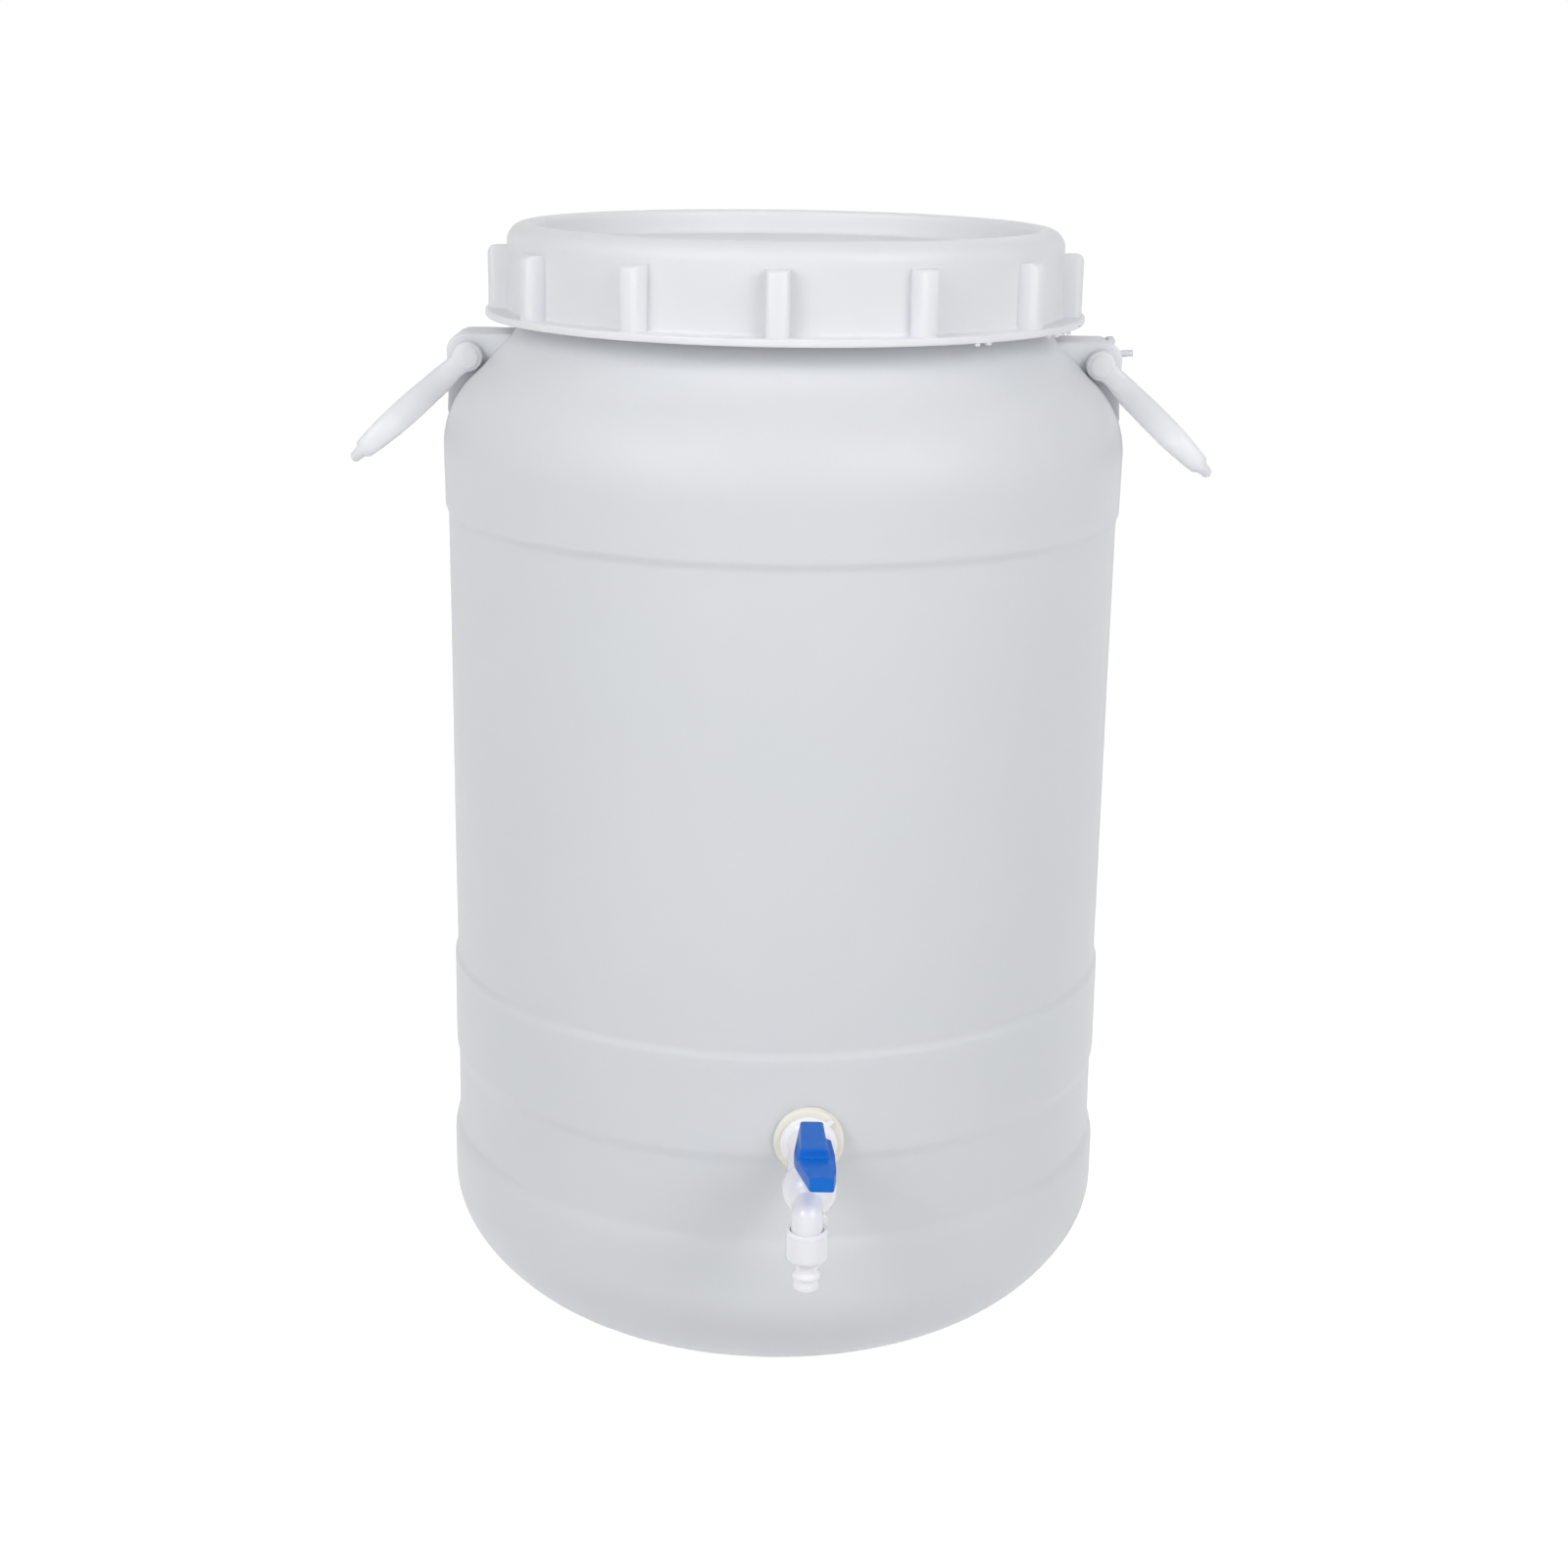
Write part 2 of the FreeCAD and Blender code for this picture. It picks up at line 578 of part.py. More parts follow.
# Union nut: rounded rim on top, rounded foot, and a lip inside that holds the barb
def outlet_nut():
    rim = 1.0
    foot = 1.8
    proud = 0.15
    hole = SPOUT_RADIUS + 0.3
    lip_hole = BARB_NECK + 0.15
    return on_spout(revolve((hole, NUT_BOTTOM + NUT_LIP), [
        (lip_hole, NUT_BOTTOM + NUT_LIP), (lip_hole, NUT_BOTTOM),
        (NUT_RADIUS - foot, NUT_BOTTOM),
        bend(NUT_RADIUS - foot, NUT_BOTTOM + foot, foot, -90, 0),
        (NUT_RADIUS, NUT_TOP - 2 * rim), (NUT_RADIUS + proud, NUT_TOP - rim),
        bend(NUT_RADIUS + proud - rim, NUT_TOP - rim, rim, 0, 90),
        (hole, NUT_TOP),
    ]))


def outlet_washer():
    return on_spout(ring(SPOUT_BORE, SPOUT_RADIUS, SPOUT_END - OUTLET_WASHER_THICK, SPOUT_END))


# Hose tail: foot ring, body, the widest ring, neck, and the flange that the nut holds
def hose_barb():
    flange_low = NUT_BOTTOM + NUT_LIP
    flange_high = SPOUT_END - OUTLET_WASHER_THICK
    return on_spout(revolve((BARB_BORE, BARB_END), [
        (BARB_BODY - 0.6, BARB_END), (BARB_FOOT_RING, BARB_END + 0.8),
        (BARB_FOOT_RING, BARB_END + 1.8), (BARB_BODY, BARB_END + 2.6),
        (BARB_BODY, BARB_END + 4.8), (BARB_RING, BARB_END + 5.4),
        (BARB_RING, BARB_END + 6.8), (BARB_NECK, BARB_END + 7.6),
        (BARB_NECK, flange_low), (SPOUT_RADIUS, flange_low),
        (SPOUT_RADIUS, flange_high), (BARB_BORE, flange_high),
    ]))


def lid_gasket():
    inner = NECK_BORE + 0.2
    return ring(inner, inner + GASKET_WIDTH, NECK_TOP + 0.2, HEIGHT - LID_SKIN - 0.3)


NODES = {
    "drum_foot": lambda: drum_ring(0, FOOT_END),
    "drum_wall": lambda: drum_ring(FOOT_END, WALL_END),
    "drum_shoulder": lambda: drum_ring(WALL_END, SHOULDER_END),
    "drum_neck": lambda: drum_ring(SHOULDER_END, HEIGHT),
    "screw_lid": screw_lid,
    "lid_gasket": lid_gasket,
    "left_handle": lambda: handle(-1, LEFT_HANDLE_DROP),
    "right_handle": lambda: handle(1, RIGHT_HANDLE_DROP),
    "tap_outer_washer": tap_outer_washer,
    "tap_inner_washer": tap_inner_washer,
    "tap_lock_nut": tap_lock_nut,
    "tap_body": tap_body,
    "valve_retainer": valve_retainer,
    "valve_seat_rear": lambda: valve_seat(-1),
    "valve_seat_front": lambda: valve_seat(1),
    "valve_ball": valve_ball,
    "valve_stem": valve_stem,
    "stem_o_ring_lower": lambda: stem_o_ring(O_RING_HEIGHTS[0]),
    "stem_o_ring_upper": lambda: stem_o_ring(O_RING_HEIGHTS[1]),
    "tap_lever": lever,
    "outlet_nut": outlet_nut,
    "outlet_washer": outlet_washer,
    "hose_barb": hose_barb,
}

os.makedirs("parts", exist_ok=True)
for name, build in NODES.items():
    shape = build()
    shape.exportStep("parts/" + name + ".step")
    box = shape.BoundBox
    print(
        name, "valid", shape.isValid(), "solids", len(shape.Solids), "cm3", round(shape.Volume / 1000, 2),
        "x %.1f %.1f y %.1f %.1f z %.1f %.1f" % (box.XMin, box.XMax, box.YMin, box.YMax, box.ZMin, box.ZMax),
    )
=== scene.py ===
import math

import bmesh
import bpy
from mathutils import Matrix, Vector, noise


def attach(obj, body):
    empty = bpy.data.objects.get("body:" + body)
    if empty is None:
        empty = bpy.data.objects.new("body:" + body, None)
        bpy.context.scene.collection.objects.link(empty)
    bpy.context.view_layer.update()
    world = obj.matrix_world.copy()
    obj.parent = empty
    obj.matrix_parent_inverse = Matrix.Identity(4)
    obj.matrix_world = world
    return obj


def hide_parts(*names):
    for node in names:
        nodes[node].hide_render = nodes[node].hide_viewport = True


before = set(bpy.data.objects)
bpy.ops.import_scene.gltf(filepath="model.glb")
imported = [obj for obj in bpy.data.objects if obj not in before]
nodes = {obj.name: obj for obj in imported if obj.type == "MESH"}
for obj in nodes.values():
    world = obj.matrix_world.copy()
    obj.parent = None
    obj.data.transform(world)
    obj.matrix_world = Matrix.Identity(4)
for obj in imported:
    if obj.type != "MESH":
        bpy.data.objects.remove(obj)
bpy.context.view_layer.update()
mm = 0.001
print("frame loaded,", len(nodes), "nodes")


# Camera, from the photograph's perspective
camera = {
    "place": (0.0026, -1.1305, 0.5669),
    "pitchDown": 16.0,
    "roll": 0.85,
    "lens": 57.46,
    "sensor": 36.0,
}


def placeCamera(c):
    data = bpy.data.cameras.new("camera")
    data.lens = c["lens"]
    data.sensor_width = c["sensor"]
    obj = bpy.data.objects.new("camera", data)
    turn = Matrix.Rotation(math.radians(90 - c["pitchDown"]), 4, "X")
    roll = Matrix.Rotation(math.radians(c["roll"]), 4, "Z")
    obj.matrix_world = Matrix.Translation(c["place"]) @ turn @ roll
    bpy.context.scene.collection.objects.link(obj)
    bpy.context.scene.camera = obj


placeCamera(camera)


# Two soft boxes in front and above, a weak one behind, and a pale room that is dimmer overhead;
# two small lamps just before the front boxes give the two glints on the shoulder
light = {
    "boxLeft": {"azimuth": -42.0, "elevation": 27.0, "reach": 1.6, "size": 1.1, "watts": 9.4},
    "boxRight": {"azimuth": 42.0, "elevation": 27.0, "reach": 1.6, "size": 1.1, "watts": 9.3},
    "glintLeft": {"azimuth": -40.0, "elevation": 27.0, "reach": 1.5, "size": 0.28, "watts": 1.7},
    "glintRight": {"azimuth": 40.0, "elevation": 27.0, "reach": 1.5, "size": 0.28, "watts": 1.6},
    "boxBack": {"azimuth": 170.0, "elevation": 40.0, "reach": 2.2, "size": 1.2, "watts": 3.0},
    "aim": (0.0, 0.0, 0.42),
    "roomColour": (0.95, 0.975, 1.0),
    "roomStrength": (0.16, 0.49),   # overhead and at the horizon
    "roomFade": (-0.95, -0.2),      # the incoming direction's Z where the fade begins and ends
}


def addBox(name, box, aim):
    data = bpy.data.lights.new(name, "AREA")
    data.shape = "SQUARE"
    data.size = box["size"]
    data.energy = box["watts"]
    obj = bpy.data.objects.new(name, data)
    azimuth = math.radians(box["azimuth"])
    elevation = math.radians(box["elevation"])
    away = Vector((
        math.sin(azimuth) * math.cos(elevation),
        -math.cos(azimuth) * math.cos(elevation),
        math.sin(elevation),
    ))
    obj.location = Vector(aim) + away * box["reach"]
    obj.rotation_euler = (-away).to_track_quat("-Z", "Y").to_euler()
    bpy.context.scene.collection.objects.link(obj)


for lampName in ("boxLeft", "boxRight", "glintLeft", "glintRight", "boxBack"):
    addBox(lampName, light[lampName], light["aim"])


# The camera, mirrors and clear things see plain white; the object is lit by the paler room
def seenDirectly(tree):
    path = tree.nodes.new("ShaderNodeLightPath")
    first = tree.nodes.new("ShaderNodeMath")
    first.operation = "MAXIMUM"
    second = tree.nodes.new("ShaderNodeMath")
    second.operation = "MAXIMUM"
    tree.links.new(path.outputs["Is Camera Ray"], first.inputs[0])
    tree.links.new(path.outputs["Is Glossy Ray"], first.inputs[1])
    tree.links.new(first.outputs[0], second.inputs[0])
    tree.links.new(path.outputs["Is Transmission Ray"], second.inputs[1])
    return second.outputs[0]


def makeRoom(l):
    world = bpy.data.worlds.new("room")
    world.use_nodes = True
    tree = world.node_tree
    tree.nodes.clear()
    out = tree.nodes.new("ShaderNodeOutputWorld")
    mix = tree.nodes.new("ShaderNodeMixShader")
    lit = tree.nodes.new("ShaderNodeBackground")
    lit.inputs["Color"].default_value = (*l["roomColour"], 1)
    # the incoming direction points back from the room, so overhead its Z is -1
    looking = tree.nodes.new("ShaderNodeNewGeometry")
    split = tree.nodes.new("ShaderNodeSeparateXYZ")
    fade = tree.nodes.new("ShaderNodeMapRange")
    fade.inputs["From Min"].default_value, fade.inputs["From Max"].default_value = l["roomFade"]
    fade.inputs["To Min"].default_value, fade.inputs["To Max"].default_value = l["roomStrength"]
    tree.links.new(looking.outputs["Incoming"], split.inputs[0])
    tree.links.new(split.outputs["Z"], fade.inputs["Value"])
    tree.links.new(fade.outputs["Result"], lit.inputs["Strength"])
    shown = tree.nodes.new("ShaderNodeBackground")
    shown.inputs["Color"].default_value = (1, 1, 1, 1)
    tree.links.new(seenDirectly(tree), mix.inputs[0])
    tree.links.new(lit.outputs[0], mix.inputs[1])
    tree.links.new(shown.outputs[0], mix.inputs[2])
    tree.links.new(mix.outputs[0], out.inputs["Surface"])
    bpy.context.scene.world = world


makeRoom(light)


floor = {
    "size": 12.0,
    "colour": (0.80, 0.80, 0.80),
    "glow": 0.82,       # added where the floor is seen directly, so that it meets the white room
}


def makeFloor(f):
    bm = bmesh.new()
    bmesh.ops.create_grid(bm, x_segments=2, y_segments=2, size=f["size"] / 2)
    mesh = bpy.data.meshes.new("floor")
    bm.to_mesh(mesh)
    bm.free()
    obj = bpy.data.objects.new("floor", mesh)
    bpy.context.scene.collection.objects.link(obj)
    material = bpy.data.materials.new("paleFloor")
    material.use_nodes = True
    tree = material.node_tree
    tree.nodes.clear()
    out = tree.nodes.new("ShaderNodeOutputMaterial")
    add = tree.nodes.new("ShaderNodeAddShader")
    matt = tree.nodes.new("ShaderNodeBsdfDiffuse")
    matt.inputs["Color"].default_value = (*f["colour"], 1)
    glow = tree.nodes.new("ShaderNodeEmission")
    strength = tree.nodes.new("ShaderNodeMath")
    strength.operation = "MULTIPLY"
    strength.inputs[1].default_value = f["glow"]
    tree.links.new(seenDirectly(tree), strength.inputs[0])
    tree.links.new(strength.outputs[0], glow.inputs["Strength"])
    tree.links.new(matt.outputs[0], add.inputs[0])
    tree.links.new(glow.outputs[0], add.inputs[1])
    tree.links.new(add.outputs[0], out.inputs["Surface"])
    mesh.materials.append(material)


makeFloor(floor)
bpy.context.scene.view_settings.view_transform = "Standard"
print("camera, lamps and floor placed")


# Node group: slow patches, upright streaks and fine grain, as in moulded plastic
def makeUnevenGroup():
    group = bpy.data.node_groups.new("unevenPlastic", "ShaderNodeTree")
    for name, value in (("Patch Scale", 8.0), ("Streak Scale", 14.0), ("Grain Scale", 700.0)):
        socket = group.interface.new_socket(name, in_out="INPUT", socket_type="NodeSocketFloat")
        socket.default_value = value
    for name in ("Patches", "Streaks", "Grain"):
        group.interface.new_socket(name, in_out="OUTPUT", socket_type="NodeSocketFloat")
    start = group.nodes.new("NodeGroupInput")
    end = group.nodes.new("NodeGroupOutput")
    place = group.nodes.new("ShaderNodeTexCoord")
    flatten = group.nodes.new("ShaderNodeMapping")
    flatten.inputs["Scale"].default_value = (1.0, 1.0, 0.05)    # draws the streaks out along Z
    group.links.new(place.outputs["Object"], flatten.inputs["Vector"])
    for name, output, source, detail in (
        ("Patch Scale", "Patches", place.outputs["Object"], 3.0),
        ("Streak Scale", "Streaks", flatten.outputs["Vector"], 2.0),
        ("Grain Scale", "Grain", place.outputs["Object"], 1.0),
    ):
        texture = group.nodes.new("ShaderNodeTexNoise")
        texture.inputs["Detail"].default_value = detail
        group.links.new(source, texture.inputs["Vector"])
        group.links.new(start.outputs[name], texture.inputs["Scale"])
        group.links.new(texture.outputs["Fac"], end.inputs[output])
    return group


unevenGroup = makeUnevenGroup()


# Stretches a value to a new range; noise stays mostly between 0.3 and 0.7
def remap(tree, source, low, high, fromLow=0.3, fromHigh=0.7):
    node = tree.nodes.new("ShaderNodeMapRange")
    node.inputs["From Min"].default_value = fromLow
    node.inputs["From Max"].default_value = fromHigh
    node.inputs["To Min"].default_value = low
    node.inputs["To Max"].default_value = high
    tree.links.new(source, node.inputs["Value"])
    return node.outputs["Result"]


def sumOf(tree, first, second):
    node = tree.nodes.new("ShaderNodeMath")
    node.operation = "ADD"
    tree.links.new(first, node.inputs[0])
    tree.links.new(second, node.inputs[1])
    return node.outputs[0]


def mixColours(tree, factor, first, second):
    node = tree.nodes.new("ShaderNodeMix")
    node.data_type = "RGBA"
    node.inputs["A"].default_value = (*first, 1)
    node.inputs["B"].default_value = (*second, 1)
    tree.links.new(factor, node.inputs["Factor"])
    return node.outputs["Result"]


# Raised line that the mould's two halves leave in the plane Y = 0
def partingLine(tree, width, height):
    place = tree.nodes.new("ShaderNodeTexCoord")
    split = tree.nodes.new("ShaderNodeSeparateXYZ")
    distance = tree.nodes.new("ShaderNodeMath")
    distance.operation = "ABSOLUTE"
    tree.links.new(place.outputs["Object"], split.inputs[0])
    tree.links.new(split.outputs["Y"], distance.inputs[0])
    return remap(tree, distance.outputs[0], height, 0.0, 0.0, width)


def plastic(name, p):
    material = bpy.data.materials.new(name)
    material.use_nodes = True
    tree = material.node_tree
    shader = tree.nodes["Principled BSDF"]
    uneven = tree.nodes.new("ShaderNodeGroup")
    uneven.node_tree = unevenGroup
    for key in ("Patch Scale", "Streak Scale", "Grain Scale"):
        uneven.inputs[key].default_value = p["scales"][key]
    blend = remap(tree, uneven.outputs["Patches"], 0, 1)
    colour = mixColours(tree, blend, p["colour"], p["colourOther"])
    tree.links.new(colour, shader.inputs["Base Color"])
    rough = remap(tree, uneven.outputs["Patches"], *p["roughness"])
    tree.links.new(rough, shader.inputs["Roughness"])
    height = sumOf(
        tree,
        remap(tree, uneven.outputs["Streaks"], 0, p["streakHeight"]),
        remap(tree, uneven.outputs["Grain"], 0, p["grainHeight"]),
    )
    height = sumOf(tree, height, remap(tree, uneven.outputs["Patches"], 0, p["patchHeight"]))
    if p.get("partingLine"):
        height = sumOf(tree, height, partingLine(tree, *p["partingLine"]))
    bump = tree.nodes.new("ShaderNodeBump")
    bump.inputs["Distance"].default_value = 1.0
    tree.links.new(height, bump.inputs["Height"])
    tree.links.new(bump.outputs["Normal"], shader.inputs["Normal"])
    shader.inputs["Specular IOR Level"].default_value = p.get("specular", 0.5)
    shader.inputs["Subsurface Weight"].default_value = p.get("subsurface", 0.0)
    shader.inputs["Subsurface Scale"].default_value = p.get("subsurfaceScale", 0.004)
    shader.inputs["Subsurface Radius"].default_value = (1.0, 1.0, 1.0)
    return material


# Bump heights are in metres; the parting line is given as half width and height
wallScales = {"Patch Scale": 9.0, "Streak Scale": 16.0, "Grain Scale": 900.0}
smallScales = {"Patch Scale": 40.0, "Streak Scale": 60.0, "Grain Scale": 1800.0}

finishes = {
    "milkyBody": {
        "colour": (0.81, 0.84, 0.875), "colourOther": (0.835, 0.845, 0.87),
        "roughness": (0.36, 0.46), "scales": wallScales, "streakHeight": 0.00022,
        "patchHeight": 0.0003, "grainHeight": 0.000006, "partingLine": (0.0009, 0.00035),
        "specular": 0.24, "subsurface": 0.55, "subsurfaceScale": 0.01,
    },
    "milkyHandle": {
        "colour": (0.82, 0.83, 0.85), "colourOther": (0.84, 0.84, 0.855), "roughness": (0.30, 0.42),
        "scales": smallScales, "streakHeight": 0.00004, "patchHeight": 0.00006,
        "grainHeight": 0.000004, "specular": 0.35, "subsurface": 0.6, "subsurfaceScale": 0.008,
    },
    "whiteLid": {
        "colour": (0.80, 0.81, 0.835), "colourOther": (0.825, 0.825, 0.845),
        "roughness": (0.34, 0.46),
        "scales": {"Patch Scale": 22.0, "Streak Scale": 40.0, "Grain Scale": 1100.0},
        "streakHeight": 0.00008, "patchHeight": 0.0001, "grainHeight": 0.000005,
        "specular": 0.3, "subsurface": 0.45, "subsurfaceScale": 0.006,
    },
    "sealFoam": {
        "colour": (0.80, 0.80, 0.76), "colourOther": (0.84, 0.83, 0.79), "roughness": (0.7, 0.85),
        "scales": smallScales, "streakHeight": 0.0, "patchHeight": 0.0001, "grainHeight": 0.00004,
        "specular": 0.3,
    },
    "creamRubber": {
        "colour": (0.86, 0.835, 0.73), "colourOther": (0.89, 0.865, 0.78), "roughness": (0.5, 0.62),
        "scales": smallScales, "streakHeight": 0.0, "patchHeight": 0.0001, "grainHeight": 0.000008,
        "specular": 0.3,
    },
    "whiteTap": {
        "colour": (0.90, 0.89, 0.925), "colourOther": (0.92, 0.91, 0.94), "roughness": (0.09, 0.15),
        "scales": smallScales, "streakHeight": 0.0, "patchHeight": 0.00006, "grainHeight": 0.000002,
    },
    "seatPlastic": {
        "colour": (0.84, 0.84, 0.84), "colourOther": (0.88, 0.88, 0.87), "roughness": (0.3, 0.4),
        "scales": smallScales, "streakHeight": 0.0, "patchHeight": 0.00003, "grainHeight": 0.000003,
    },
    "blackRubber": {
        "colour": (0.02, 0.02, 0.02), "colourOther": (0.035, 0.035, 0.035),
        "roughness": (0.45, 0.6), "scales": smallScales, "streakHeight": 0.0,
        "patchHeight": 0.00003, "grainHeight": 0.000006,
    },
    "blueLever": {
        "colour": (0.008, 0.145, 0.60), "colourOther": (0.012, 0.165, 0.66),
        "roughness": (0.22, 0.30), "scales": smallScales, "streakHeight": 0.0,
        "patchHeight": 0.00005, "grainHeight": 0.000004,
        "specular": 0.12,
    },
}
materials = {name: plastic(name, p) for name, p in finishes.items()}
print("materials made")


# Object from a bmesh, at the origin, linked to the scene
def objectFrom(name, bm):
    mesh = bpy.data.meshes.new(name)
    bm.to_mesh(mesh)
    bm.free()
    obj = bpy.data.objects.new(name, mesh)
    bpy.context.scene.collection.objects.link(obj)
    return obj


def bakeModifiers(obj):
    graph = bpy.context.evaluated_depsgraph_get()
    mesh = bpy.data.meshes.new_from_object(obj.evaluated_get(graph))
    obj.modifiers.clear()
    obj.data = mesh
    mesh.name = obj.name


def combine(obj, other, operation):
    cut = obj.modifiers.new(operation.lower(), "BOOLEAN")
    cut.operation = operation
    cut.solver = "EXACT"
    cut.object = other
    bakeModifiers(obj)
    bpy.data.objects.remove(other)


def finishPiece(obj, material, slot, body, *replaced, sharpAngle=38.0):
    obj.data.materials.clear()
    obj.data.materials.append(materials[material])
    obj.data.shade_smooth()
    obj.data.set_sharp_from_angle(angle=math.radians(sharpAngle))
    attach(obj, body)
    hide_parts(*replaced)
    return obj


def arc(centreR, centreZ, radius, start, end, count):
    points = []
    for i in range(count + 1):
        angle = math.radians(start + (end - start) * i / count)
        points.append((centreR + radius * math.cos(angle), centreZ + radius * math.sin(angle)))
    return points


# Points of a soft S from one radius and height to another
def softStep(low, high, count):
    points = []
    for i in range(count + 1):
        t = i / count
        ease = t * t * (3 - 2 * t)
        points.append((low[0] + (high[0] - low[0]) * ease, low[1] + (high[1] - low[1]) * t))
    return points


# Straight run with a close point at each end, so that smooth shading stays flat between them
def run(start, end, near=1.2, step=22.0):
    length = math.dist(start, end)
    if length < 3 * near:
        return [start, end]
    count = max(1, round((length - 2 * near) / step))
    marks = [0.0, near] + [near + (length - 2 * near) * i / count for i in range(1, count)]
    marks += [length - near, length]
    direction = ((end[0] - start[0]) / length, (end[1] - start[1]) / length)
    return [(start[0] + direction[0] * m, start[1] + direction[1] * m) for m in marks]


# Closed shell from a line of radius and height points in millimetres, turned about Z;
# both ends of the line are on the axis, and points that fall together are left out
def turned(line, segments):
    bm = bmesh.new()
    kept = [line[0]]
    for point in line[1:]:
        if math.dist(point, kept[-1]) > 0.01:
            kept.append(point)
    verts = [bm.verts.new((r * mm, 0.0, z * mm)) for r, z in kept]
    edges = [bm.edges.new(pair) for pair in zip(verts, verts[1:])]
    bmesh.ops.spin(
        bm, geom=verts + edges, cent=(0, 0, 0), axis=(0, 0, 1), dvec=(0, 0, 0),
        angle=2 * math.pi, steps=segments, use_merge=True, use_duplicate=False,
    )
    bmesh.ops.remove_doubles(bm, verts=bm.verts, dist=1e-6)
    bmesh.ops.recalc_face_normals(bm, faces=bm.faces)
    return bm


# Thread ridge with sloping flanks, wound up Z from a height
def threadRidge(root, crest, height, pitch, turns, start, stepsPerTurn=96):
    bm = bmesh.new()
    half = height / 2
    tip = half * 0.55       # the crest is narrower than the root
    corners = [(root, -half), (crest, -tip), (crest, tip), (root, half)]
    verts = [bm.verts.new((r * mm, 0.0, (start + z) * mm)) for r, z in corners]
    edges = [bm.edges.new((verts[i], verts[(i + 1) % 4])) for i in range(4)]
    steps = round(turns * stepsPerTurn)
    swept = bmesh.ops.spin(
        bm, geom=verts + edges, cent=(0, 0, 0), axis=(0, 0, 1),
        dvec=(0, 0, pitch * turns * mm / steps), angle=2 * math.pi * turns, steps=steps,
        use_merge=False, use_duplicate=False,
    )
    last = [g for g in swept["geom_last"] if isinstance(g, bmesh.types.BMVert)]
    bmesh.ops.contextual_create(bm, geom=verts)
    bmesh.ops.contextual_create(bm, geom=last)
    bmesh.ops.recalc_face_normals(bm, faces=bm.faces)
    return bm


# Solid from an outline of points in one plane, pushed along a direction
def pushed(points, direction):
    bm = bmesh.new()
    face = bm.faces.new([bm.verts.new(p) for p in points])
    made = bmesh.ops.extrude_face_region(bm, geom=[face])
    moved = [g for g in made["geom"] if isinstance(g, bmesh.types.BMVert)]
    bmesh.ops.translate(bm, verts=moved, vec=direction)
    bmesh.ops.recalc_face_normals(bm, faces=bm.faces)
    return bm


def roundEdges(bm, edges, width, segments=3):
    bmesh.ops.bevel(
        bm, geom=edges, offset=width * mm, affect="EDGES", segments=segments,
        profile=0.5, material=-1, offset_type="OFFSET", clamp_overlap=True,
    )


thread = {"pitch": 12.0, "turns": 1.2, "start": 466.5, "ridge": 4.0, "play": 0.4}

drum = {
    "segments": 256,
    "wall": 2.6,
    "dishRadius": 62.0, "dishRise": 9.0, "dishLip": 2.0, "dishLean": 0.4,
    "footInner": 73.0, "footFlat": 1.0,
    "bottomRadius": 154.0, "wideArc": 74.0, "wideAngle": 60.0, "tightArc": 40.0,
    "waistLow": ((154.0, 66.0), (154.0, 74.5), (153.7, 77.6), (153.2, 80.0), (152.5, 81.7),
                 (151.95, 83.0), (151.7, 84.3), (151.65, 86.5)),
    "tapBand": ((151.4, 117.0), (152.5, 123.4)),
    "lowBand": ((152.3, 164.6), (151.0, 168.9)),
    "highBand": ((150.8, 373.2), (152.1, 377.8)),
    "shoulderRadius": 152.4, "shoulderArc": 43.5, "coneSum": 572.6,
    "neckRadius": 117.0, "neckBore": 114.2, "neckTop": 494.2, "neckFlare": 5.0, "neckRidge": 118.7,
    "ridgeBury": 0.5, "mouthEdge": 0.8, "mouthCut": (0.2, 5.0),
    "wobble": 0.22, "wobbleScale": 11.0, "wobbleFrom": 60.0,    # the bottom's middle stays flat
    # points along each curve; the inside has half of them, but the same in the dish and the flare
    "steps": {"dish": 5, "wide": 20, "tight": 10, "band": 6, "shoulder": 16, "flare": 6},
}


